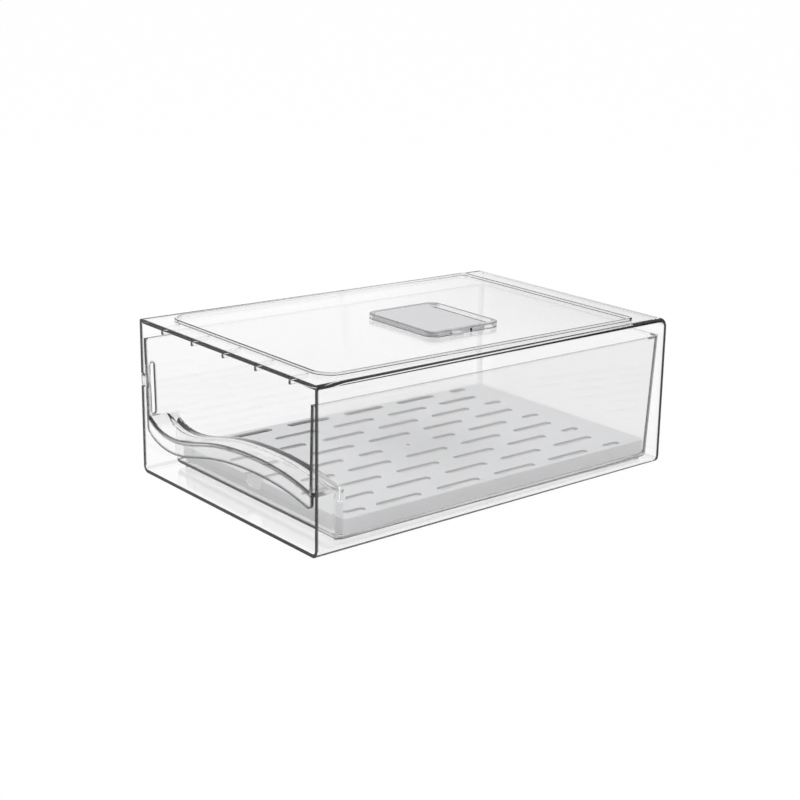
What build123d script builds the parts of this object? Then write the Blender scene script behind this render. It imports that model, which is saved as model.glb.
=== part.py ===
from build123d import *
import os

# A clear stacking box for a refrigerator, open at the front, that holds a
# pull-out drawer with a wavy finger lip. A slotted drain tray lies in the
# drawer, and a small grey plate slides in a frame on top to open the vents.
#
# All sizes are in millimetres. X runs across the front, Y runs from the open
# front (negative) to the closed rear (positive) and Z runs up. The origin is
# on the ground, under the middle of the box.

os.makedirs("parts", exist_ok=True)

# ---------------------------------------------------------------- housing
HOUSING_WIDTH = 206.0  # across the open front
HOUSING_DEPTH = 308.0
HOUSING_HEIGHT = 110.0  # at the open front
SIDE_DRAFT = 5.0  # how far each side wall has come in at the rear
TOP_DRAFT = 2.5  # how far the top has come down at the rear
SIDE_WALL = 2.5
TOP_WALL = 3.0
FLOOR_WALL = 2.5
REAR_WALL = 2.5
REAR_TOP_RADIUS = 7.0
BASE_RADIUS = 5.0
LONG_EDGE_RADIUS = 2.4

RIM_WIDTH = 2.4  # raised bead that keeps a box stacked on top in place
RIM_HEIGHT = 2.0
RIM_SPAN = 182.0  # outside width of the bead
RIM_FRONT_INSET = 14.0
RIM_REAR_INSET = 26.5
RIM_FRONT_CORNER = 14.0
RIM_REAR_CORNER = 5.0
RIM_EDGE_RADIUS = 0.8

RIB_COUNT = 5  # stiffening ribs under the front strip of the top
RIB_PITCH = 37.0
RIB_THICKNESS = 1.5
RIB_DROP = 2.6
RIB_TOE_RADIUS = 1.2

# ----------------------------------------------------------------- drawer
DRAWER_SIDE_GAP = 2.2  # beside the drawer's rim, at the open front
DRAWER_REAR_SIDE_GAP = 0.7  # beside the drawer's rim, at its rear
DRAWER_REAR_GAP = 1.3  # behind the drawer's rim
DRAWER_TOP_GAP = 10.0  # between the drawer's rim and the housing's ceiling
DRAWER_WALL = 2.0
DRAWER_FLOOR = 2.0
SIDE_LEAN = 2.6  # how far the sides lean out from floor to rim
REAR_LEAN = 3.6  # how far the rear leans out from floor to rim
GRIP_DEPTH = 20.0  # how far the front wall stands back under the lip
FRONT_CORNER = 6.0
REAR_CORNER = 6.0
DRAWER_BASE_RADIUS = 2.4
DRAWER_INNER_BASE_RADIUS = 1.4

SKID_HEIGHT = 2.4
SKID_WIDTH = 3.0
SKID_INSET = 6.0  # from the drawer's side to the middle of the skid
SKID_END_INSET = 4.0
SKID_CLEARANCE = 0.3

LIP_THICKNESS = 2.0
FLANGE_THICKNESS = 2.0
FLANGE_DROP = 11.3
FLANGE_CORNER = 4.0
GRIP_RADIUS = 7.0  # inside corner between the lip and the front wall
WAVE_LEFT_RISE = 43.4  # where the lip runs up into the left wall
WAVE_LEFT_TURN = 10.0
WAVE_LEFT_HEIGHT = 37.6
WAVE_TROUGH_X = -68.0
WAVE_TROUGH_HEIGHT = 34.2
WAVE_SLOPE_X = -20.0
WAVE_SLOPE_HEIGHT = 42.6
WAVE_CREST_X = 32.0
WAVE_CREST_HEIGHT = 48.0
WAVE_RIGHT_HEIGHT = 40.2

CATCH_HEIGHT = 66.8  # middle of the catch on the left wall
CATCH_LENGTH = 8.0
CATCH_DEPTH = 2.7
CATCH_CLEARANCE = 0.35

WALL_SLOT_WIDTH = 3.4
WALL_SLOT_LENGTH = 36.0
WALL_SLOT_INSET = 4.8  # from the drawer's front edge to the slot's middle
WALL_SLOT_HEIGHT = 61.2

# ------------------------------------------------------------- drain tray
TRAY_HEIGHT = 10.5
TRAY_TOP = 1.6
TRAY_SKIRT = 1.8
TRAY_SIDE_GAP = 1.2
TRAY_FRONT_GAP = 5.0
TRAY_SEAT_CLEARANCE = 0.3
TRAY_CORNER = 3.0
TRAY_EDGE_RADIUS = 0.8
SLOT_WIDTH = 6.0
SLOT_LENGTH = 36.0
SLOT_PITCH = 50.0
COLUMN_EDGE = 5.4  # from the outer columns to the tray's rear corners
SIDE_COLUMNS = 4  # columns of slots on each side of the middle one
SHORT_SLOT = 15.0
MIDDLE_SLOT = 20.0
FRONT_SLOT = 25.0
FRONT_SLOT_Y = -92.5  # places of the end slots, from the pattern's middle
REAR_SHORT_Y = 117.5
FRONT_SHORT_Y = -110.0
MIDDLE_SLOT_SPREAD = 66.0
PATTERN_SHIFT = -10.4  # the pattern's middle, measured from the tray's
GATE_HOLE_RADIUS = 1.6
SCOOP_WIDTH = 21.0  # finger scoop in the front skirt
SCOOP_DEPTH = 8.0
SCOOP_DROP = 8.0
SCOOP_RADIUS = 7.5
SCOOP_OFFSET = -5.0

# ------------------------------------------------------------------- vent
VENT_WIDTH = 73.0
VENT_LENGTH = 62.0
VENT_HEIGHT = 3.6
VENT_CORNER = 8.5
VENT_WALL = 2.0
VENT_LIP = 1.6  # how far the side lips reach in over the plate
VENT_LIP_THICKNESS = 1.0
VENT_OFFSET_X = 16.0
VENT_OFFSET_Y = 6.5
VENT_TONGUE_DEPTH = 1.4
VENT_TONGUE_WIDTH = 1.0
VENT_TONGUE_CLEARANCE = 0.1
PLATE_LENGTH = 48.0
PLATE_FLANGE = 1.6  # thickness of the plate's edge, under the side lips
PLATE_SIDE_CLEARANCE = 0.4
PLATE_END_CLEARANCE = 0.3
PLATE_LIFT = 0.3
PLATE_CORNER = 5.5
PLATE_EDGE_RADIUS = 1.5
VENT_HOLE_COUNT = 3
VENT_HOLE_LENGTH = 16.0
VENT_HOLE_WIDTH = 5.0
VENT_HOLE_PITCH = 19.0
VENT_HOLE_INSET = 5.0
TAB_LENGTH = 7.5
TAB_REACH = 3.5  # how far the finger tab stands out of the frame
TAB_OFFSET = -5.0  # from the plate's middle to the tab's
TAB_RADIUS = 1.5
TAB_CLEARANCE = 0.4

# ---------------------------------------------------------- derived sizes
FRONT_Y = -HOUSING_DEPTH / 2
REAR_Y = HOUSING_DEPTH / 2
CUT_MARGIN = 12.0  # how far a cutting shape runs past the solid that it cuts


def housing_half_width(y):
    """Outside half width of the housing at the depth y."""
    return HOUSING_WIDTH / 2 - SIDE_DRAFT * (y - FRONT_Y) / HOUSING_DEPTH


def housing_top(y):
    """Height of the housing's top face at the depth y."""
    return HOUSING_HEIGHT - TOP_DRAFT * (y - FRONT_Y) / HOUSING_DEPTH


# The top's own plane: it follows the slope of the top face.
top_plane = Plane(
    origin=(0, 0, housing_top(0)),
    x_dir=(1, 0, 0),
    z_dir=(0, TOP_DRAFT, HOUSING_DEPTH),
)

# The plate's closed place is against the front end of the vent frame.
PLATE_WIDTH = VENT_WIDTH - 2 * VENT_WALL - 2 * PLATE_SIDE_CLEARANCE
PLATE_TRAVEL = VENT_LENGTH - 2 * VENT_WALL - PLATE_LENGTH - 2 * PLATE_END_CLEARANCE
PLATE_Y = VENT_OFFSET_Y - PLATE_TRAVEL / 2
TONGUE_INSET = (VENT_WALL - VENT_TONGUE_WIDTH) / 2

DRAWER_BASE_Z = FLOOR_WALL + SKID_CLEARANCE + SKID_HEIGHT
DRAWER_FLOOR_Z = DRAWER_BASE_Z + DRAWER_FLOOR
DRAWER_RIM_Y = REAR_Y - REAR_WALL - DRAWER_REAR_GAP
DRAWER_RIM_Z = HOUSING_HEIGHT - TOP_WALL - DRAWER_TOP_GAP
DRAWER_WALL_Y = FRONT_Y + GRIP_DEPTH
RIM_HALF_FRONT = HOUSING_WIDTH / 2 - SIDE_WALL - DRAWER_SIDE_GAP
RIM_HALF_REAR = housing_half_width(DRAWER_RIM_Y) - SIDE_WALL - DRAWER_REAR_SIDE_GAP
DRAWER_DRAFT = (RIM_HALF_FRONT - RIM_HALF_REAR) / (DRAWER_RIM_Y - FRONT_Y)


def drawer_half_width(y, z):
    """Outside half width of the drawer at the depth y and height z."""
    rim_half = RIM_HALF_FRONT - DRAWER_DRAFT * (y - FRONT_Y)
    return rim_half - SIDE_LEAN * (DRAWER_RIM_Z - z) / (DRAWER_RIM_Z - DRAWER_BASE_Z)


def drawer_rear(z):
    """Outside face of the drawer's rear wall at the height z."""
    return DRAWER_RIM_Y - REAR_LEAN * (DRAWER_RIM_Z - z) / (DRAWER_RIM_Z - DRAWER_BASE_Z)


def drawer_plan(z, front_y, wall, front_radius, rear_radius):
    """The drawer's outline at the height z, set in by the wall thickness."""
    rear_y = drawer_rear(z) - wall
    front_half = drawer_half_width(front_y, z) - wall
    rear_half = drawer_half_width(rear_y, z) - wall
    with BuildSketch(Plane.XY.offset(z)) as plan:
        with BuildLine():
            Polyline(
                (-front_half, front_y),
                (front_half, front_y),
                (rear_half, rear_y),
                (-rear_half, rear_y),
                close=True,
            )
        make_face()
        if front_radius > 0:
            fillet(plan.vertices().group_by(Axis.Y)[0], front_radius)
        fillet(plan.vertices().group_by(Axis.Y)[-1], rear_radius)
    return plan.sketch


def housing_plan(z, front_y, rear_y, wall):
    """The housing's outline at the height z, set in by the side wall."""
    front_half = housing_half_width(front_y) - wall
    rear_half = housing_half_width(rear_y) - wall
    with BuildSketch(Plane.XY.offset(z)) as plan:
        with BuildLine():
            Polyline(
                (-front_half, front_y),
                (front_half, front_y),
                (rear_half, rear_y),
                (-rear_half, rear_y),
                close=True,
            )
        make_face()
    return plan.sketch


def lip_region(shift, upper):
    """The area above or below the lip's wavy line, moved by shift in height."""
    far_half = HOUSING_WIDTH / 2 + CUT_MARGIN
    left_half = drawer_half_width(FRONT_Y, WAVE_LEFT_HEIGHT)
    right_half = drawer_half_width(FRONT_Y, WAVE_RIGHT_HEIGHT)
    limit_z = DRAWER_RIM_Z + CUT_MARGIN if upper else DRAWER_BASE_Z - CUT_MARGIN
    with BuildSketch(Plane.XZ) as region:
        with BuildLine():
            wave = Spline(
                (WAVE_LEFT_TURN - left_half, WAVE_LEFT_HEIGHT + shift),
                (WAVE_TROUGH_X, WAVE_TROUGH_HEIGHT + shift),
                (WAVE_SLOPE_X, WAVE_SLOPE_HEIGHT + shift),
                (WAVE_CREST_X, WAVE_CREST_HEIGHT + shift),
                (right_half, WAVE_RIGHT_HEIGHT + shift),
            )
            turn = TangentArc(
                wave @ 0,
                (-left_half, WAVE_LEFT_RISE + shift),
                tangent=(wave % 0) * -1,
            )
            Polyline(
                turn @ 1,
                (-far_half, WAVE_LEFT_RISE + shift),
                (-far_half, limit_z),
                (far_half, limit_z),
                (far_half, WAVE_RIGHT_HEIGHT + shift),
                wave @ 1,
            )
        make_face()
    return region.sketch


# ================================================================ housing
# The hollow of the housing, open at the front.
with BuildPart() as housing_hollow:
    inner_rear_y = REAR_Y - REAR_WALL
    hollow_plan = housing_plan(FLOOR_WALL, FRONT_Y - CUT_MARGIN, inner_rear_y, SIDE_WALL)
    extrude(hollow_plan, amount=HOUSING_HEIGHT)
    split(bisect_by=top_plane.offset(-TOP_WALL), keep=Keep.BOTTOM)
    inner_rear = housing_hollow.faces().sort_by(Axis.Y)[-1]
    fillet(inner_rear.edges().sort_by(Axis.Z)[-1], REAR_TOP_RADIUS - TOP_WALL)
    inner_floor = housing_hollow.faces().sort_by(Axis.Z)[0]
    inner_floor_edges = inner_floor.edges().filter_by(lambda e: e.center().Y > FRONT_Y)
    fillet(inner_floor_edges, BASE_RADIUS - FLOOR_WALL)

# The raised bead around the top.
with BuildPart() as stacking_rim:
    rim_front = FRONT_Y + RIM_FRONT_INSET
    rim_rear = REAR_Y - RIM_REAR_INSET
    rim_length = rim_rear - rim_front
    rim_middle = (rim_front + rim_rear) / 2
    with BuildSketch(top_plane.offset(-TOP_WALL / 2)) as rim_outline:
        with Locations((0, rim_middle)):
            Rectangle(RIM_SPAN, rim_length)
        fillet(rim_outline.vertices().group_by(Axis.Y)[0], RIM_FRONT_CORNER)
        fillet(rim_outline.vertices().group_by(Axis.Y)[-1], RIM_REAR_CORNER)
        offset(amount=-RIM_WIDTH, mode=Mode.SUBTRACT)
    extrude(amount=TOP_WALL / 2 + RIM_HEIGHT)
    fillet(stacking_rim.faces().sort_by(Axis.Z)[-1].edges(), RIM_EDGE_RADIUS)

# What rounds the two long edges of the base, one edge and its mirror image.
with BuildPart() as base_edges:
    base_edge_plane = Plane(
        origin=(HOUSING_WIDTH / 2, FRONT_Y, 0),
        x_dir=(0, 0, 1),
        z_dir=(-SIDE_DRAFT, HOUSING_DEPTH, 0),
    )
    with BuildSketch(base_edge_plane.offset(-CUT_MARGIN)):
        Rectangle(2 * BASE_RADIUS, 2 * BASE_RADIUS)
        with Locations((BASE_RADIUS, -BASE_RADIUS)):
            Circle(BASE_RADIUS, mode=Mode.SUBTRACT)
    extrude(amount=HOUSING_DEPTH + 2 * CUT_MARGIN)
    mirror(about=Plane.YZ)

with BuildPart() as housing_shell:
    extrude(housing_plan(0, FRONT_Y, REAR_Y, 0), amount=HOUSING_HEIGHT + CUT_MARGIN)
    split(bisect_by=top_plane, keep=Keep.BOTTOM)
    outer_rear = housing_shell.faces().sort_by(Axis.Y)[-1]
    fillet(outer_rear.edges().sort_by(Axis.Z)[-1], REAR_TOP_RADIUS)
    outer_rear = housing_shell.faces().sort_by(Axis.Y)[-1]
    fillet(outer_rear.edges().sort_by(Axis.Z)[0], BASE_RADIUS)
    # The long edges of each side, and the round of its rear corners.
    left_edges = housing_shell.faces().sort_by(Axis.X)[0].edges()
    right_edges = housing_shell.faces().sort_by(Axis.X)[-1].edges()
    fillet(
        (left_edges + right_edges).filter_by(lambda e: e.center().Y > FRONT_Y + 1),
        LONG_EDGE_RADIUS,
    )
    add(base_edges.part, mode=Mode.SUBTRACT)
    add(housing_hollow.part, mode=Mode.SUBTRACT)
    add(stacking_rim.part)
    # Stiffening ribs, from the front edge back to the raised bead.
    for number in range(RIB_COUNT):
        rib_x = (number - (RIB_COUNT - 1) / 2) * RIB_PITCH
        with BuildSketch(Plane.YZ.offset(rib_x)) as rib:
            with BuildLine():
                Polyline(
                    (FRONT_Y, housing_top(FRONT_Y) - TOP_WALL / 2),
                    (FRONT_Y, housing_top(FRONT_Y) - TOP_WALL - RIB_DROP),
                    (rim_front, housing_top(rim_front) - TOP_WALL - RIB_DROP),
                    (rim_front, housing_top(rim_front) - TOP_WALL / 2),
                    close=True,
                )
            make_face()
            fillet(rib.vertices().group_by(Axis.Y)[0], RIB_TOE_RADIUS)
        extrude(amount=RIB_THICKNESS / 2, both=True)
    # The notch in the left wall's front edge that takes the drawer's catch.
    with BuildSketch(Plane.YZ.offset(-HOUSING_WIDTH / 2 - CUT_MARGIN)):
        with Locations((FRONT_Y, CATCH_HEIGHT)):
            Rectangle(
                2 * (CATCH_DEPTH + CATCH_CLEARANCE),
                CATCH_LENGTH + 2 * CATCH_CLEARANCE,
            )
    extrude(amount=CUT_MARGIN + SIDE_WALL + SIDE_DRAFT, mode=Mode.SUBTRACT)
    # The vent holes, and the groove that the vent frame's tongue sits in.
    with BuildSketch(top_plane):
        with Locations((VENT_OFFSET_X, PLATE_Y - PLATE_LENGTH / 2 + VENT_HOLE_INSET)):
            with GridLocations(VENT_HOLE_PITCH, 1, VENT_HOLE_COUNT, 1):
                SlotOverall(VENT_HOLE_LENGTH, VENT_HOLE_WIDTH)
    extrude(amount=-TOP_WALL - 1, mode=Mode.SUBTRACT)
    groove_inset = TONGUE_INSET - VENT_TONGUE_CLEARANCE
    groove_width = VENT_TONGUE_WIDTH + 2 * VENT_TONGUE_CLEARANCE
    with BuildSketch(top_plane):
        with Locations((VENT_OFFSET_X, VENT_OFFSET_Y)):
            RectangleRounded(
                VENT_WIDTH - 2 * groove_inset,
                VENT_LENGTH - 2 * groove_inset,
                VENT_CORNER - groove_inset,
            )
            RectangleRounded(
                VENT_WIDTH - 2 * groove_inset - 2 * groove_width,
                VENT_LENGTH - 2 * groove_inset - 2 * groove_width,
                VENT_CORNER - groove_inset - groove_width,
                mode=Mode.SUBTRACT,
            )
    extrude(amount=-VENT_TONGUE_DEPTH - VENT_TONGUE_CLEARANCE, mode=Mode.SUBTRACT)

housing_shell.part.label = "housing_shell"
export_step(housing_shell.part, "parts/housing_shell.step")

# ================================================================= drawer
# The room inside the bin, behind the front wall.
with BuildPart() as bin_room:
    room_front = DRAWER_WALL_Y + DRAWER_WALL
    room_front_radius = FRONT_CORNER - DRAWER_WALL
    room_rear_radius = REAR_CORNER - DRAWER_WALL
    loft(
        [
            drawer_plan(
                DRAWER_FLOOR_Z, room_front, DRAWER_WALL, room_front_radius, room_rear_radius
            ).face(),
            drawer_plan(
                DRAWER_RIM_Z + CUT_MARGIN,
                room_front,
                DRAWER_WALL,
                room_front_radius,
                room_rear_radius,
            ).face(),
        ],
        ruled=True,
    )
    fillet(bin_room.faces().sort_by(Axis.Z)[0].edges(), DRAWER_INNER_BASE_RADIUS)

# The room above the lip, between the two side walls.
with BuildPart() as lip_room:
    loft(
        [
            drawer_plan(
                DRAWER_FLOOR_Z, FRONT_Y - CUT_MARGIN, DRAWER_WALL, 0, room_rear_radius
            ).face(),
            drawer_plan(
                DRAWER_RIM_Z + CUT_MARGIN, FRONT_Y - CUT_MARGIN, DRAWER_WALL, 0, room_rear_radius
            ).face(),
        ],
        ruled=True,
    )
    add(
        extrude(
            lip_region(0, upper=True), amount=-2 * FRONT_Y, both=True, mode=Mode.PRIVATE
        ),
        mode=Mode.INTERSECT,
    )

# The bin's outside below the lip, with its front wall set back.
with BuildPart() as bin_body:
    loft(
        [
            drawer_plan(DRAWER_BASE_Z, DRAWER_WALL_Y, 0, FRONT_CORNER, REAR_CORNER).face(),
            drawer_plan(
                DRAWER_RIM_Z + CUT_MARGIN, DRAWER_WALL_Y, 0, FRONT_CORNER, REAR_CORNER
            ).face(),
        ],
        ruled=True,
    )

# The space under the lip, where fingers reach in, rounded into the front wall.
with BuildPart() as grip_room:
    extrude(
        lip_region(-LIP_THICKNESS, upper=False).moved(Location((0, DRAWER_WALL_Y, 0))),
        amount=GRIP_DEPTH + CUT_MARGIN,
    )
    # Its wavy line only: the straight edges lie outside the drawer.
    grip_back = grip_room.faces().sort_by(Axis.Y)[-1].edges()
    fillet(grip_back.filter_by(GeomType.LINE, reverse=True), GRIP_RADIUS)

# What is cut away outside the two rounded corners below that space's top.
with BuildPart() as corner_room:
    corner_sketch = lip_region(-LIP_THICKNESS - GRIP_RADIUS, upper=False)
    extrude(
        corner_sketch.moved(Location((0, DRAWER_WALL_Y + FRONT_CORNER + 1, 0))),
        amount=FRONT_CORNER + 2,
    )
    add(bin_body.part, mode=Mode.SUBTRACT)

# The flange that hangs from the front of the lip.
with BuildPart() as lip_flange:
    with BuildSketch(Plane.XZ.offset(-FRONT_Y - FLANGE_THICKNESS)):
        add(lip_region(-FLANGE_DROP, upper=True))
        add(lip_region(-LIP_THICKNESS / 2, upper=True), mode=Mode.SUBTRACT)
    extrude(amount=FLANGE_THICKNESS)

# The drawer's outside, full width down to the lip, cut off in line with the top.
with BuildPart() as drawer_block:
    loft(
        [
            drawer_plan(DRAWER_BASE_Z, FRONT_Y, 0, 0, REAR_CORNER).face(),
            drawer_plan(DRAWER_RIM_Z + CUT_MARGIN, FRONT_Y, 0, 0, REAR_CORNER).face(),
        ],
        ruled=True,
    )
    split(bisect_by=top_plane.offset(-TOP_WALL - DRAWER_TOP_GAP), keep=Keep.BOTTOM)

with BuildPart() as drawer_flange:
    add(drawer_block.part)
    add(lip_flange.part, mode=Mode.INTERSECT)
    flange_ends = drawer_flange.edges().filter_by(
        lambda e: abs(e.center().X) > RIM_HALF_REAR - RIM_WIDTH and e.length < FLANGE_THICKNESS * 1.1
    )
    fillet(flange_ends.filter_by(lambda e: e.center().Z < WAVE_TROUGH_HEIGHT), FLANGE_CORNER)

with BuildPart() as drawer_bin:
    add(drawer_block.part)
    add(grip_room.part, mode=Mode.SUBTRACT)
    add(corner_room.part, mode=Mode.SUBTRACT)
    fillet(drawer_bin.faces().sort_by(Axis.Z)[0].edges(), DRAWER_BASE_RADIUS)
    add(bin_room.part, mode=Mode.SUBTRACT)
    add(lip_room.part, mode=Mode.SUBTRACT)
    add(drawer_flange.part)
    # Two skids run along the underside.
    skid_x = drawer_half_width(drawer_rear(DRAWER_BASE_Z), DRAWER_BASE_Z) - SKID_INSET
    skid_front = DRAWER_WALL_Y + SKID_END_INSET
    skid_rear = drawer_rear(DRAWER_BASE_Z) - SKID_END_INSET
    with BuildSketch(Plane.XY.offset(DRAWER_BASE_Z - SKID_HEIGHT)):
        with Locations((0, (skid_front + skid_rear) / 2)):
            with GridLocations(2 * skid_x, 1, 2, 1):
                SlotOverall(skid_rear - skid_front, SKID_WIDTH, rotation=90)
    extrude(amount=SKID_HEIGHT + DRAWER_FLOOR / 2)
    # The catch on the left wall rests in the housing's notch when closed.
    catch_inner = drawer_half_width(FRONT_Y, CATCH_HEIGHT) - DRAWER_WALL / 2
    catch_outer = HOUSING_WIDTH / 2 - CATCH_CLEARANCE
    with BuildSketch(Plane.XZ.offset(-FRONT_Y)) as catch:
        with Locations((-(catch_inner + catch_outer) / 2, CATCH_HEIGHT)):
            Rectangle(catch_outer - catch_inner, CATCH_LENGTH)
        fillet(catch.vertices().group_by(Axis.X)[0], CATCH_CLEARANCE * 3)
    extrude(amount=-CATCH_DEPTH)
    # The upright slot beside the catch, which lets the wall's edge spring.
    with BuildSketch(Plane.YZ.offset(-HOUSING_WIDTH / 2)):
        with Locations((FRONT_Y + WALL_SLOT_INSET, WALL_SLOT_HEIGHT)):
            SlotOverall(WALL_SLOT_LENGTH, WALL_SLOT_WIDTH, rotation=90)
    extrude(amount=CUT_MARGIN, mode=Mode.SUBTRACT)

drawer_bin.part.label = "drawer_bin"
export_step(drawer_bin.part, "parts/drawer_bin.step")

# ============================================================= drain tray
TRAY_BASE_Z = DRAWER_FLOOR_Z + TRAY_SEAT_CLEARANCE
TRAY_FRONT_Y = DRAWER_WALL_Y + DRAWER_WALL + TRAY_FRONT_GAP
TRAY_INSET = DRAWER_WALL + TRAY_SIDE_GAP
TRAY_REAR_Y = drawer_rear(TRAY_BASE_Z) - TRAY_INSET
TRAY_MIDDLE_Y = (TRAY_FRONT_Y + TRAY_REAR_Y) / 2
TRAY_REAR_HALF = drawer_half_width(TRAY_REAR_Y, TRAY_BASE_Z) - TRAY_INSET
COLUMN_PITCH = (TRAY_REAR_HALF - COLUMN_EDGE) / SIDE_COLUMNS

with BuildPart() as drain_tray:
    tray_plan = drawer_plan(TRAY_BASE_Z, TRAY_FRONT_Y, TRAY_INSET, TRAY_CORNER, TRAY_CORNER)
    extrude(tray_plan, amount=TRAY_HEIGHT)
    fillet(drain_tray.faces().sort_by(Axis.Z)[-1].edges(), TRAY_EDGE_RADIUS)
    with BuildSketch(Plane.XY.offset(TRAY_BASE_Z)):
        add(tray_plan)
        offset(amount=-TRAY_SKIRT)
    extrude(amount=TRAY_HEIGHT - TRAY_TOP, mode=Mode.SUBTRACT)
    # Odd columns are set half a pitch from the even ones, like brickwork.
    pattern_y = TRAY_MIDDLE_Y + PATTERN_SHIFT
    with BuildSketch(Plane.XY.offset(TRAY_BASE_Z + TRAY_HEIGHT)):
        for number in range(-SIDE_COLUMNS, SIDE_COLUMNS + 1):
            with Locations((number * COLUMN_PITCH, pattern_y)):
                if number % 2 == 1:
                    with Locations((0, SLOT_PITCH / 2)):
                        with GridLocations(1, SLOT_PITCH, 1, 4):
                            SlotOverall(SLOT_LENGTH, SLOT_WIDTH, rotation=90)
                    with Locations((0, FRONT_SLOT_Y)):
                        SlotOverall(FRONT_SLOT, SLOT_WIDTH, rotation=90)
                else:
                    with GridLocations(1, 3 * SLOT_PITCH, 1, 2):
                        SlotOverall(SLOT_LENGTH, SLOT_WIDTH, rotation=90)
                    with Locations((0, REAR_SHORT_Y), (0, FRONT_SHORT_Y)):
                        SlotOverall(SHORT_SLOT, SLOT_WIDTH, rotation=90)
                    # The middle column leaves room for the moulding's gate.
                    if number == 0:
                        with GridLocations(1, MIDDLE_SLOT_SPREAD, 1, 2):
                            SlotOverall(MIDDLE_SLOT, SLOT_WIDTH, rotation=90)
                        Circle(GATE_HOLE_RADIUS)
                    else:
                        with GridLocations(1, SLOT_PITCH, 1, 2):
                            SlotOverall(SLOT_LENGTH, SLOT_WIDTH, rotation=90)
    extrude(amount=-TRAY_TOP - 1, mode=Mode.SUBTRACT)
    # The finger scoop is open to the front and to the top.
    with BuildSketch(Plane.XZ.offset(-TRAY_FRONT_Y + 1)) as scoop:
        with Locations((SCOOP_OFFSET, TRAY_BASE_Z + TRAY_HEIGHT)):
            Rectangle(SCOOP_WIDTH, 2 * SCOOP_DROP)
        fillet(scoop.vertices(), SCOOP_RADIUS)
    extrude(amount=-SCOOP_DEPTH - 1, mode=Mode.SUBTRACT)

drain_tray.part.label = "drain_tray"
export_step(drain_tray.part, "parts/drain_tray.step")

# =================================================================== vent
with BuildPart() as vent_frame:
    room_width = VENT_WIDTH - 2 * VENT_WALL
    room_length = VENT_LENGTH - 2 * VENT_WALL
    with BuildSketch(top_plane):
        with Locations((VENT_OFFSET_X, VENT_OFFSET_Y)):
            RectangleRounded(VENT_WIDTH, VENT_LENGTH, VENT_CORNER)
    extrude(amount=VENT_HEIGHT)
    fillet(vent_frame.faces().sort_by(Axis.Z)[-1].edges(), VENT_LIP_THICKNESS / 2)
    # The room for the plate, and the opening between the lips above it.
    with BuildSketch(top_plane):
        with Locations((VENT_OFFSET_X, VENT_OFFSET_Y)):
            RectangleRounded(room_width, room_length, VENT_CORNER - VENT_WALL)
    extrude(amount=VENT_HEIGHT - VENT_LIP_THICKNESS, mode=Mode.SUBTRACT)
    with BuildSketch(top_plane):
        with Locations((VENT_OFFSET_X, VENT_OFFSET_Y)):
            RectangleRounded(
                room_width - 2 * VENT_LIP,
                room_length,
                VENT_CORNER - VENT_WALL,
            )
    extrude(amount=VENT_HEIGHT, mode=Mode.SUBTRACT)
    # The tongue that sits in the housing's groove.
    with BuildSketch(top_plane.offset(-VENT_TONGUE_DEPTH)):
        with Locations((VENT_OFFSET_X, VENT_OFFSET_Y)):
            RectangleRounded(
                VENT_WIDTH - 2 * TONGUE_INSET,
                VENT_LENGTH - 2 * TONGUE_INSET,
                VENT_CORNER - TONGUE_INSET,
            )
            RectangleRounded(
                VENT_WIDTH - 2 * TONGUE_INSET - 2 * VENT_TONGUE_WIDTH,
                VENT_LENGTH - 2 * TONGUE_INSET - 2 * VENT_TONGUE_WIDTH,
                VENT_CORNER - TONGUE_INSET - VENT_TONGUE_WIDTH,
                mode=Mode.SUBTRACT,
            )
    extrude(amount=VENT_TONGUE_DEPTH + VENT_LIP_THICKNESS)
    # The window in the right wall that the plate's tab slides along.
    window_length = TAB_LENGTH + PLATE_TRAVEL + 2 * TAB_CLEARANCE
    window_y = PLATE_Y + TAB_OFFSET + PLATE_TRAVEL / 2
    with BuildSketch(top_plane):
        with Locations((VENT_OFFSET_X + VENT_WIDTH / 2, window_y)):
            Rectangle(3 * VENT_WALL, window_length)
    extrude(amount=VENT_HEIGHT - VENT_LIP_THICKNESS, mode=Mode.SUBTRACT)

vent_frame.part.label = "vent_frame"
export_step(vent_frame.part, "parts/vent_frame.step")

with BuildPart() as vent_slider:
    # The raised pad that is seen and pushed, rounded at its upper edges.
    with BuildSketch(top_plane.offset(PLATE_LIFT)):
        with Locations((VENT_OFFSET_X, PLATE_Y)):
            RectangleRounded(
                PLATE_WIDTH - 2 * VENT_LIP, PLATE_LENGTH, PLATE_CORNER
            )
    extrude(amount=VENT_HEIGHT - PLATE_LIFT)
    fillet(vent_slider.faces().sort_by(Axis.Z)[-1].edges(), PLATE_EDGE_RADIUS)
    # The flat edge that runs under the side lips, and the finger tab.
    with BuildSketch(top_plane.offset(PLATE_LIFT)) as plate:
        with Locations((VENT_OFFSET_X, PLATE_Y)):
            RectangleRounded(PLATE_WIDTH, PLATE_LENGTH, PLATE_CORNER)
        tab_reach = VENT_WIDTH / 2 + TAB_REACH
        with Locations((VENT_OFFSET_X + tab_reach / 2, PLATE_Y + TAB_OFFSET)):
            Rectangle(tab_reach, TAB_LENGTH)
        fillet(plate.vertices().group_by(Axis.X)[-1], TAB_RADIUS)
    extrude(amount=PLATE_FLANGE)

vent_slider.part.label = "vent_slider"
export_step(vent_slider.part, "parts/vent_slider.step")
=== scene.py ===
import math

import bpy
from mathutils import Matrix, Vector

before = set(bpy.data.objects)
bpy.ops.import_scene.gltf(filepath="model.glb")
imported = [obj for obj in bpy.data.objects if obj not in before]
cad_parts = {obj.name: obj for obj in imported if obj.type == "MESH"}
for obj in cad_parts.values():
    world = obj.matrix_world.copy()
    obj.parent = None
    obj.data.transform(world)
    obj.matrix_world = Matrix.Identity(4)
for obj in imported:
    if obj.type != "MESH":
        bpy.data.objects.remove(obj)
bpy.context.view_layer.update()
bpy.context.scene.view_settings.view_transform = "Standard"

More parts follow.
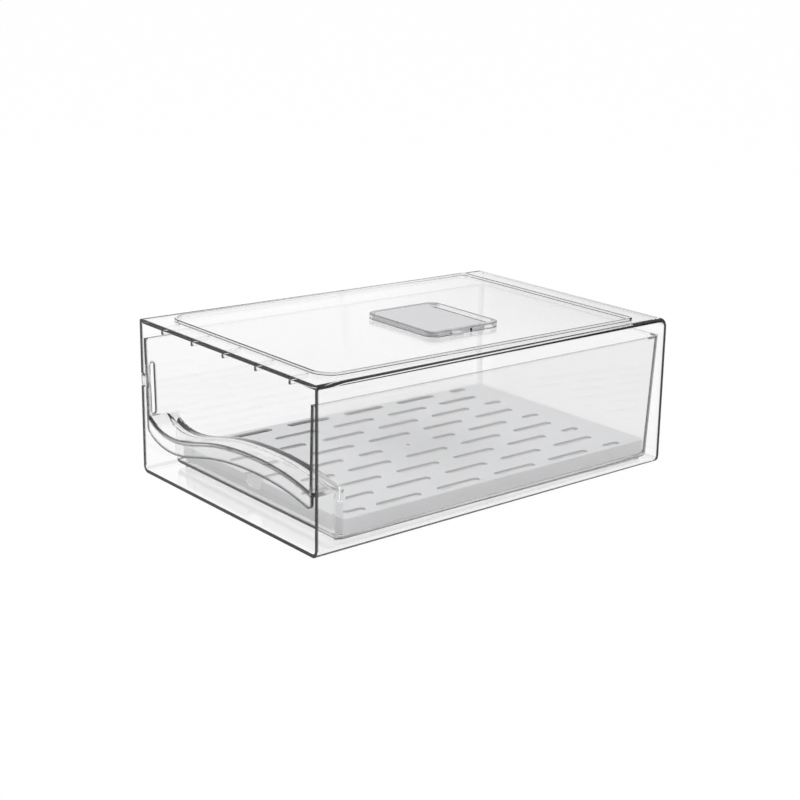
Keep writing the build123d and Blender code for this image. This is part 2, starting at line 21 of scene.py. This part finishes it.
# ---------------------------------------------------------------- the room
# A plain room with soft light from all round. The camera sees it as plain
# white wherever it looks past the part.
white = (1.0, 1.0, 1.0, 1.0)
room = bpy.data.worlds.new("room")
bpy.context.scene.world = room
room.use_nodes = True
room_nodes = room.node_tree.nodes
room_links = room.node_tree.links
room_nodes.clear()
room_output = room_nodes.new("ShaderNodeOutputWorld")
seen_background = room_nodes.new("ShaderNodeBackground")
seen_background.inputs["Color"].default_value = white
seen_background.inputs["Strength"].default_value = 1.0
soft_background = room_nodes.new("ShaderNodeBackground")
soft_background.inputs["Strength"].default_value = 1.0

# A dark skirting runs along the rear wall just above the floor, and the
# clear plastic picks up a grey shade from it. Each stop is a height and its
# grey, where 0 is straight down, 0.5 the horizon and 1 straight up.
skirting_stops = ((0.499, 1.0), (0.502, 0.03), (0.575, 0.03), (0.62, 0.8))
ceiling = (0.98, 0.98, 0.98, 1.0)
room_direction = room_nodes.new("ShaderNodeTexCoord")
room_height = room_nodes.new("ShaderNodeSeparateXYZ")
room_scale = room_nodes.new("ShaderNodeMapRange")
room_scale.inputs["From Min"].default_value = -1.0
room_scale.inputs["From Max"].default_value = 1.0
room_ramp = room_nodes.new("ShaderNodeValToRGB")
room_ramp.color_ramp.elements[0].position = 0.0
room_ramp.color_ramp.elements[0].color = white
room_ramp.color_ramp.elements[1].position = 1.0
room_ramp.color_ramp.elements[1].color = ceiling
for place, grey in skirting_stops:
    stop = room_ramp.color_ramp.elements.new(place)
    stop.color = (grey, grey, grey, 1.0)
room_links.new(room_direction.outputs["Generated"], room_height.inputs["Vector"])
room_links.new(room_height.outputs["Z"], room_scale.inputs["Value"])
room_links.new(room_scale.outputs["Result"], room_ramp.inputs["Fac"])

# How far to the rear a direction points where the skirting begins and where
# it is full. To the front and to the sides the room stays white.
skirting_begins = 0.6
skirting_full = 0.75
room_rear = room_nodes.new("ShaderNodeMapRange")
room_rear.inputs["From Min"].default_value = skirting_begins
room_rear.inputs["From Max"].default_value = skirting_full
room_light = room_nodes.new("ShaderNodeMix")
room_light.data_type = "RGBA"
room_light.inputs["A"].default_value = white
room_links.new(room_height.outputs["Y"], room_rear.inputs["Value"])
room_links.new(room_rear.outputs["Result"], room_light.inputs["Factor"])
room_links.new(room_ramp.outputs["Color"], room_light.inputs["B"])
room_links.new(room_light.outputs["Result"], soft_background.inputs["Color"])

room_rays = room_nodes.new("ShaderNodeLightPath")
room_mix = room_nodes.new("ShaderNodeMixShader")
room_links.new(room_rays.outputs["Is Camera Ray"], room_mix.inputs["Fac"])
room_links.new(soft_background.outputs["Background"], room_mix.inputs[1])
room_links.new(seen_background.outputs["Background"], room_mix.inputs[2])
room_links.new(room_mix.outputs["Shader"], room_output.inputs["Surface"])

# --------------------------------------------------------------- the floor
# A big painted board just under the part. Seen straight, in gloss or through
# the plastic it is nearly all white, and it lights the part as pale paint.
floor_size = 12.0
floor_gap = 0.0006
floor_paint_colour = (0.82, 0.82, 0.82, 1.0)
floor_white_share = 0.97


def math_node(nodes, operation, kind="ShaderNodeMath"):
    """A Math or Vector Math node that is set to one operation."""
    node = nodes.new(kind)
    node.operation = operation
    return node


bpy.ops.mesh.primitive_plane_add(size=floor_size, location=(0.0, 0.0, -floor_gap))
floor = bpy.context.active_object
floor.name = "floor"
floor_paint = bpy.data.materials.new("floor_paint")
floor_paint.use_nodes = True
floor_nodes = floor_paint.node_tree.nodes
floor_links = floor_paint.node_tree.links
floor_nodes.clear()
floor_output = floor_nodes.new("ShaderNodeOutputMaterial")
floor_matte = floor_nodes.new("ShaderNodeBsdfDiffuse")
floor_matte.inputs["Color"].default_value = floor_paint_colour
floor_white = floor_nodes.new("ShaderNodeEmission")
floor_white.inputs["Color"].default_value = white
floor_white.inputs["Strength"].default_value = 1.0
floor_rays = floor_nodes.new("ShaderNodeLightPath")
floor_straight = math_node(floor_nodes, "MAXIMUM")
floor_mirrored = math_node(floor_nodes, "MAXIMUM")
floor_share = math_node(floor_nodes, "MULTIPLY")
floor_share.inputs[1].default_value = floor_white_share
floor_mix = floor_nodes.new("ShaderNodeMixShader")
floor_links.new(floor_rays.outputs["Is Camera Ray"], floor_straight.inputs[0])
floor_links.new(floor_rays.outputs["Is Transmission Ray"], floor_straight.inputs[1])
floor_links.new(floor_straight.outputs["Value"], floor_mirrored.inputs[0])
floor_links.new(floor_rays.outputs["Is Glossy Ray"], floor_mirrored.inputs[1])
floor_links.new(floor_mirrored.outputs["Value"], floor_share.inputs[0])
floor_links.new(floor_share.outputs["Value"], floor_mix.inputs["Fac"])
floor_links.new(floor_matte.outputs["BSDF"], floor_mix.inputs[1])
floor_links.new(floor_white.outputs["Emission"], floor_mix.inputs[2])
floor_links.new(floor_mix.outputs["Shader"], floor_output.inputs["Surface"])
floor.data.materials.append(floor_paint)

# --------------------------------------------------------------- the lamps
# One broad soft lamp hangs overhead, a little to the camera's side, and is
# turned towards the part.
lamp_place = (0.35, -0.15, 1.5)
lamp_light = bpy.data.lights.new("top_lamp", "AREA")
lamp_light.shape = "RECTANGLE"
lamp_light.size = 1.6
lamp_light.size_y = 1.2
lamp_light.energy = 9.0
top_lamp = bpy.data.objects.new("top_lamp", lamp_light)
top_lamp.location = lamp_place
top_lamp.rotation_euler = (math.radians(8), math.radians(12), 0.0)
bpy.context.collection.objects.link(top_lamp)

# -------------------------------------------------------------- the camera
# A long lens a little above the part, which sees its front, its right side
# and its top. The lens is given in picture points, of which 800 lie across.
picture_width = 800.0
lens_in_points = 1655.2
camera_right = Vector((0.63006, 0.77636, 0.01701))
camera_up = Vector((-0.22911, 0.16492, 0.95933))
camera_back = Vector((0.74198, -0.60833, 0.28178))
camera_place = Vector((0.86112, -0.70372, 0.38038))
camera_lens = bpy.data.cameras.new("camera")
camera_lens.sensor_width = 36.0
camera_lens.lens = lens_in_points * camera_lens.sensor_width / picture_width
camera_lens.shift_x = -0.01485
camera_lens.shift_y = -0.00659
camera_lens.clip_start = 0.01
camera = bpy.data.objects.new("camera", camera_lens)
camera.matrix_world = Matrix((
    (camera_right.x, camera_up.x, camera_back.x, camera_place.x),
    (camera_right.y, camera_up.y, camera_back.y, camera_place.y),
    (camera_right.z, camera_up.z, camera_back.z, camera_place.z),
    (0.0, 0.0, 0.0, 1.0),
))
bpy.context.collection.objects.link(camera)
bpy.context.scene.camera = camera

# ------------------------------------------------------------- the housing
# The outer box is one clear moulding, polished inside and out. Moulding and
# handling leave faint waves and smudges in its faces.
number = "NodeSocketFloat"
vector = "NodeSocketVector"
colour = "NodeSocketColor"


def new_group(name, inputs, outputs):
    """An empty shader node group with named inputs and outputs."""
    group = bpy.data.node_groups.new(name, "ShaderNodeTree")
    for label, kind in inputs:
        group.interface.new_socket(label, in_out="INPUT", socket_type=kind)
    for label, kind in outputs:
        group.interface.new_socket(label, in_out="OUTPUT", socket_type=kind)
    return group


# The stretch of the cloudy noise over which the smooth face turns smudged.
smudge_low = 0.35
smudge_high = 0.75
moulded = new_group(
    "moulded_surface",
    (("Wave Scale", number), ("Smudge Scale", number), ("Smooth", number), ("Smudged", number)),
    (("Height", number), ("Roughness", number)),
)
moulded_in = moulded.nodes.new("NodeGroupInput")
moulded_out = moulded.nodes.new("NodeGroupOutput")
moulded_place = moulded.nodes.new("ShaderNodeTexCoord")
moulded_wave = moulded.nodes.new("ShaderNodeTexNoise")
moulded_wave.inputs["Detail"].default_value = 1.0
moulded_smudge = moulded.nodes.new("ShaderNodeTexNoise")
moulded_smudge.inputs["Detail"].default_value = 5.0
moulded_range = moulded.nodes.new("ShaderNodeMapRange")
moulded_range.inputs["From Min"].default_value = smudge_low
moulded_range.inputs["From Max"].default_value = smudge_high
moulded.links.new(moulded_place.outputs["Object"], moulded_wave.inputs["Vector"])
moulded.links.new(moulded_place.outputs["Object"], moulded_smudge.inputs["Vector"])
moulded.links.new(moulded_in.outputs["Wave Scale"], moulded_wave.inputs["Scale"])
moulded.links.new(moulded_in.outputs["Smudge Scale"], moulded_smudge.inputs["Scale"])
moulded.links.new(moulded_smudge.outputs["Fac"], moulded_range.inputs["Value"])
moulded.links.new(moulded_in.outputs["Smooth"], moulded_range.inputs["To Min"])
moulded.links.new(moulded_in.outputs["Smudged"], moulded_range.inputs["To Max"])
moulded.links.new(moulded_wave.outputs["Fac"], moulded_out.inputs["Height"])
moulded.links.new(moulded_range.outputs["Result"], moulded_out.inputs["Roughness"])


def largest_part(group, whole):
    """The largest of the X, Y and Z that a vector socket gives."""
    split = group.nodes.new("ShaderNodeSeparateXYZ")
    first_two = math_node(group.nodes, "MAXIMUM")
    all_three = math_node(group.nodes, "MAXIMUM")
    group.links.new(whole, split.inputs["Vector"])
    group.links.new(split.outputs["X"], first_two.inputs[0])
    group.links.new(split.outputs["Y"], first_two.inputs[1])
    group.links.new(first_two.outputs["Value"], all_three.inputs[0])
    group.links.new(split.outputs["Z"], all_three.inputs[1])
    return all_three.outputs["Value"]


# The places where the painted edge shade shows nearly black, each given as a
# plain box in the piece's own space, in metres. Inside is 1 in the box and 0
# outside it.
boxed = new_group(
    "inside_box",
    (("Centre", vector), ("Half Size", vector)),
    (("Inside", number),),
)
boxed_in = boxed.nodes.new("NodeGroupInput")
boxed_out = boxed.nodes.new("NodeGroupOutput")
boxed_place = boxed.nodes.new("ShaderNodeTexCoord")
boxed_from = math_node(boxed.nodes, "SUBTRACT", "ShaderNodeVectorMath")
boxed_away = math_node(boxed.nodes, "ABSOLUTE", "ShaderNodeVectorMath")
boxed_part = math_node(boxed.nodes, "DIVIDE", "ShaderNodeVectorMath")
boxed_test = math_node(boxed.nodes, "LESS_THAN")
boxed_test.inputs[1].default_value = 1.0
boxed_most = largest_part(boxed, boxed_part.outputs["Vector"])
boxed.links.new(boxed_place.outputs["Object"], boxed_from.inputs[0])
boxed.links.new(boxed_in.outputs["Centre"], boxed_from.inputs[1])
boxed.links.new(boxed_from.outputs["Vector"], boxed_away.inputs[0])
boxed.links.new(boxed_away.outputs["Vector"], boxed_part.inputs[0])
boxed.links.new(boxed_in.outputs["Half Size"], boxed_part.inputs[1])
boxed.links.new(boxed_most, boxed_test.inputs[0])
boxed.links.new(boxed_test.outputs["Value"], boxed_out.inputs["Inside"])

# Painted shade: each sharp or rounded edge gets a thin grey line in its base
# colour, standing in for the dark edge that light running inside the wall
# gives. It is nearly black where Dark is 1 and the edge doesn't face down, and
# where Dark Below is 1.
plain_tint = 0.995
nearly_black = 0.002
faces_down = -0.1

# A sharp edge's line begins and is full where the softened edge agrees this
# far with the face itself, and 1 is full agreement. A rounded edge's line
# goes by how far the face agrees with the nearest of the part's axes.
sharp_begins = 0.995
sharp_full = 0.97
rounded_begins = 0.97
rounded_full = 0.93
# This group paints the edge shade into the base colour as grey lines.
lined = new_group(
    "painted_edge_shade",
    (
        ("Width", number),
        ("Edge Grey", number),
        ("Rounded", number),
        ("Dark", number),
        ("Dark Below", number),
    ),
    (("Tint", colour),),
)
lined_in = lined.nodes.new("NodeGroupInput")
lined_out = lined.nodes.new("NodeGroupOutput")
lined_round = lined.nodes.new("ShaderNodeBevel")
lined_round.samples = 6
lined_face = lined.nodes.new("ShaderNodeNewGeometry")
lined_turn = math_node(lined.nodes, "DOT_PRODUCT", "ShaderNodeVectorMath")
lined_sharp = lined.nodes.new("ShaderNodeMapRange")
lined_sharp.inputs["From Min"].default_value = sharp_begins
lined_sharp.inputs["From Max"].default_value = sharp_full
lined_away = math_node(lined.nodes, "ABSOLUTE", "ShaderNodeVectorMath")
lined_most = largest_part(lined, lined_away.outputs["Vector"])
lined_soft = lined.nodes.new("ShaderNodeMapRange")
lined_soft.inputs["From Min"].default_value = rounded_begins
lined_soft.inputs["From Max"].default_value = rounded_full
lined_edge = math_node(lined.nodes, "MAXIMUM")
lined_tilt = lined.nodes.new("ShaderNodeSeparateXYZ")
lined_up = math_node(lined.nodes, "GREATER_THAN")
lined_up.inputs[1].default_value = faces_down
lined_upper = math_node(lined.nodes, "MULTIPLY")
lined_dark = math_node(lined.nodes, "MAXIMUM")
lined_grey = lined.nodes.new("ShaderNodeMix")
lined_grey.inputs["B"].default_value = nearly_black
lined_tone = lined.nodes.new("ShaderNodeMapRange")
lined_tone.inputs["To Min"].default_value = plain_tint
lined_tint = lined.nodes.new("ShaderNodeCombineColor")
lined.links.new(lined_in.outputs["Width"], lined_round.inputs["Radius"])
lined.links.new(lined_round.outputs["Normal"], lined_turn.inputs[0])
lined.links.new(lined_face.outputs["Normal"], lined_turn.inputs[1])
lined.links.new(lined_turn.outputs["Value"], lined_sharp.inputs["Value"])
lined.links.new(lined_face.outputs["True Normal"], lined_away.inputs[0])
lined.links.new(lined_most, lined_soft.inputs["Value"])
lined.links.new(lined_in.outputs["Rounded"], lined_soft.inputs["To Max"])
lined.links.new(lined_sharp.outputs["Result"], lined_edge.inputs[0])
lined.links.new(lined_soft.outputs["Result"], lined_edge.inputs[1])
lined.links.new(lined_round.outputs["Normal"], lined_tilt.inputs["Vector"])
lined.links.new(lined_tilt.outputs["Z"], lined_up.inputs[0])
lined.links.new(lined_up.outputs["Value"], lined_upper.inputs[0])
lined.links.new(lined_in.outputs["Dark"], lined_upper.inputs[1])
lined.links.new(lined_upper.outputs["Value"], lined_dark.inputs[0])
lined.links.new(lined_in.outputs["Dark Below"], lined_dark.inputs[1])
lined.links.new(lined_dark.outputs["Value"], lined_grey.inputs["Factor"])
lined.links.new(lined_in.outputs["Edge Grey"], lined_grey.inputs["A"])
lined.links.new(lined_edge.outputs["Value"], lined_tone.inputs["Value"])
lined.links.new(lined_grey.outputs["Result"], lined_tone.inputs["To Max"])
for channel in ("Red", "Green", "Blue"):
    lined.links.new(lined_tone.outputs["Result"], lined_tint.inputs[channel])
lined.links.new(lined_tint.outputs["Color"], lined_out.inputs["Tint"])

# What the room's soft light keeps as it passes the plastic, how many faces a
# ray may meet before it counts as trapped, and how little is kept of light
# that runs along inside a wall.
passing_tint = (0.96, 0.96, 0.96, 1.0)
most_faces = 6.5
inner_tint = (0.1, 0.1, 0.1, 1.0)


def clear_plastic(name, density, edge_width, edge_grey, rounded, trapped_grey, dark_boxes):
    """Clear moulded plastic with faint waves and painted shade along its edges.

    Each dark box is the socket of the painted edge shade group that it
    feeds, its centre and its half size.
    """
    plastic = bpy.data.materials.new(name)
    plastic.use_nodes = True
    nodes = plastic.node_tree.nodes
    links = plastic.node_tree.links
    shader = nodes["Principled BSDF"]
    shader.inputs["Transmission Weight"].default_value = 1.0
    shader.inputs["IOR"].default_value = 1.49
    surface = nodes.new("ShaderNodeGroup")
    surface.node_tree = moulded
    surface.inputs["Wave Scale"].default_value = 14.0
    surface.inputs["Smudge Scale"].default_value = 60.0
    surface.inputs["Smooth"].default_value = 0.015
    surface.inputs["Smudged"].default_value = 0.05
    bump = nodes.new("ShaderNodeBump")
    bump.inputs["Strength"].default_value = 0.01
    bump.inputs["Distance"].default_value = 0.0004
    links.new(surface.outputs["Height"], bump.inputs["Height"])
    links.new(bump.outputs["Normal"], shader.inputs["Normal"])
    links.new(surface.outputs["Roughness"], shader.inputs["Roughness"])
    edges = nodes.new("ShaderNodeGroup")
    edges.node_tree = lined
    edges.inputs["Width"].default_value = edge_width
    edges.inputs["Edge Grey"].default_value = edge_grey
    edges.inputs["Rounded"].default_value = rounded
    # Each box adds to the boxes that already feed the same socket.
    for socket, centre, half_size in dark_boxes:
        box = nodes.new("ShaderNodeGroup")
        box.node_tree = boxed
        box.inputs["Centre"].default_value = centre
        box.inputs["Half Size"].default_value = half_size
        dark = math_node(nodes, "MAXIMUM")
        dark.inputs[1].default_value = 0.0
        if edges.inputs[socket].is_linked:
            links.new(edges.inputs[socket].links[0].from_socket, dark.inputs[1])
        links.new(box.outputs["Inside"], dark.inputs[0])
        links.new(dark.outputs["Value"], edges.inputs[socket])
    # The base colour carries the painted edge shade: grey lines that stand in for dark edges.
    links.new(edges.outputs["Tint"], shader.inputs["Base Color"])
    # Soft light from the room goes straight through to what lies inside.
    rays = nodes.new("ShaderNodeLightPath")
    soft = math_node(nodes, "MAXIMUM")
    through = nodes.new("ShaderNodeBsdfTransparent")
    through.inputs["Color"].default_value = passing_tint
    mix = nodes.new("ShaderNodeMixShader")
    links.new(rays.outputs["Is Shadow Ray"], soft.inputs[0])
    links.new(rays.outputs["Is Diffuse Ray"], soft.inputs[1])
    links.new(soft.outputs["Value"], mix.inputs["Fac"])
    links.new(shader.outputs["BSDF"], mix.inputs[1])
    links.new(through.outputs["BSDF"], mix.inputs[2])
    # Light that is trapped in a wall goes straight on, as a soft grey.
    deep = math_node(nodes, "GREATER_THAN")
    deep.inputs[1].default_value = most_faces
    trapped = nodes.new("ShaderNodeBsdfTransparent")
    trapped.inputs["Color"].default_value = (trapped_grey, trapped_grey, trapped_grey, 1.0)
    release = nodes.new("ShaderNodeMixShader")
    links.new(rays.outputs["Ray Depth"], deep.inputs[0])
    links.new(deep.outputs["Value"], release.inputs["Fac"])
    links.new(mix.outputs["Shader"], release.inputs[1])
    links.new(trapped.outputs["BSDF"], release.inputs[2])
    links.new(release.outputs["Shader"], nodes["Material Output"].inputs["Surface"])
    # Light that runs along inside a wall is lost, which darkens the edges.
    body = nodes.new("ShaderNodeVolumeAbsorption")
    body.inputs["Color"].default_value = inner_tint
    body.inputs["Density"].default_value = density
    links.new(body.outputs["Volume"], nodes["Material Output"].inputs["Volume"])
    return plastic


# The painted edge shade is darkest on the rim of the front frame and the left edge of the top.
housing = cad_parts["housing_shell"]
housing.data.materials.clear()
front_frame = ("Dark", (0.0, -0.154, 0.060), (0.2, 0.0018, 0.055))
left_top_edge = ("Dark", (-0.101, 0.0, 0.108), (0.0055, 0.2, 0.004))
housing.data.materials.append(
    clear_plastic(
        "housing_plastic",
        density=2.0,
        edge_width=0.0018,
        edge_grey=0.85,
        rounded=1.0,
        trapped_grey=0.9,
        dark_boxes=[front_frame, left_top_edge],
    )
)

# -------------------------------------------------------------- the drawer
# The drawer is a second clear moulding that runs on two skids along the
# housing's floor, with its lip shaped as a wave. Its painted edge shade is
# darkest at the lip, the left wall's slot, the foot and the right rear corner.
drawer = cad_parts["drawer_bin"]
drawer.data.materials.clear()
lip_edge = ("Dark", (0.0, -0.154, 0.060), (0.2, 0.0022, 0.1))
slot_edge = ("Dark Below", (-0.1005, -0.1475, 0.0612), (0.004, 0.003, 0.0205))
foot_edge = ("Dark Below", (0.0, 0.0, 0.0057), (0.2, 0.2, 0.0012))
rear_edge = ("Dark Below", (0.0945, 0.146, 0.050), (0.0085, 0.009, 0.06))
drawer.data.materials.append(
    clear_plastic(
        "drawer_plastic",
        density=4.0,
        edge_width=0.0028,
        edge_grey=0.85,
        rounded=1.0,
        trapped_grey=0.85,
        dark_boxes=[lip_edge, slot_edge, foot_edge, rear_edge],
    )
)

# ---------------------------------------------------------- the drain tray
# The tray is moulded in a pale grey plastic with a fine satin grain. It lies
# loose in the drawer and lifts out.
smudge_rise = 0.12


def grey_plastic(name, pale, dark, roughness, grain):
    """Opaque grey plastic with a fine grain and slightly uneven colour."""
    plastic = bpy.data.materials.new(name)
    plastic.use_nodes = True
    nodes = plastic.node_tree.nodes
    links = plastic.node_tree.links
    shader = nodes["Principled BSDF"]
    place = nodes.new("ShaderNodeTexCoord")
    mottle = nodes.new("ShaderNodeTexNoise")
    mottle.inputs["Scale"].default_value = 35.0
    mottle.inputs["Detail"].default_value = 4.0
    tone = nodes.new("ShaderNodeMix")
    tone.data_type = "RGBA"
    tone.inputs["A"].default_value = pale
    tone.inputs["B"].default_value = dark
    surface = nodes.new("ShaderNodeGroup")
    surface.node_tree = moulded
    surface.inputs["Wave Scale"].default_value = 2200.0
    surface.inputs["Smudge Scale"].default_value = 90.0
    surface.inputs["Smooth"].default_value = roughness
    surface.inputs["Smudged"].default_value = roughness + smudge_rise
    bump = nodes.new("ShaderNodeBump")
    bump.inputs["Strength"].default_value = grain
    bump.inputs["Distance"].default_value = 0.0001
    links.new(place.outputs["Object"], mottle.inputs["Vector"])
    links.new(mottle.outputs["Fac"], tone.inputs["Factor"])
    links.new(tone.outputs["Result"], shader.inputs["Base Color"])
    links.new(surface.outputs["Height"], bump.inputs["Height"])
    links.new(bump.outputs["Normal"], shader.inputs["Normal"])
    links.new(surface.outputs["Roughness"], shader.inputs["Roughness"])
    return plastic


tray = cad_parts["drain_tray"]
tray.data.materials.clear()
tray.data.materials.append(
    grey_plastic(
        "tray_plastic",
        pale=(0.62, 0.623, 0.635, 1.0),
        dark=(0.58, 0.583, 0.595, 1.0),
        roughness=0.4,
        grain=0.3,
    )
)

# ---------------------------------------------------------- the vent frame
# A clear raised frame of its own, snapped into a groove in the top. Two lips
# along its sides guide the vent plate.
vent_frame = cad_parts["vent_frame"]
vent_frame.data.materials.clear()
# Painted edge shade turns its edges and curved faces dark grey in the base colour.
vent_frame.data.materials.append(
    clear_plastic(
        "vent_plastic",
        density=5.0,
        edge_width=0.0007,
        edge_grey=0.1,
        rounded=0.3,
        trapped_grey=0.7,
        dark_boxes=[],
    )
)

# ---------------------------------------------------------- the vent plate
# A grey plate with a small finger tab, moulded with a soft satin face. It
# slides under the frame's two lips.
vent_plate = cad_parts["vent_slider"]
vent_plate.data.materials.clear()
vent_plate.data.materials.append(
    grey_plastic(
        "slider_plastic",
        pale=(0.52, 0.52, 0.54, 1.0),
        dark=(0.49, 0.49, 0.51, 1.0),
        roughness=0.42,
        grain=0.3,
    )
)
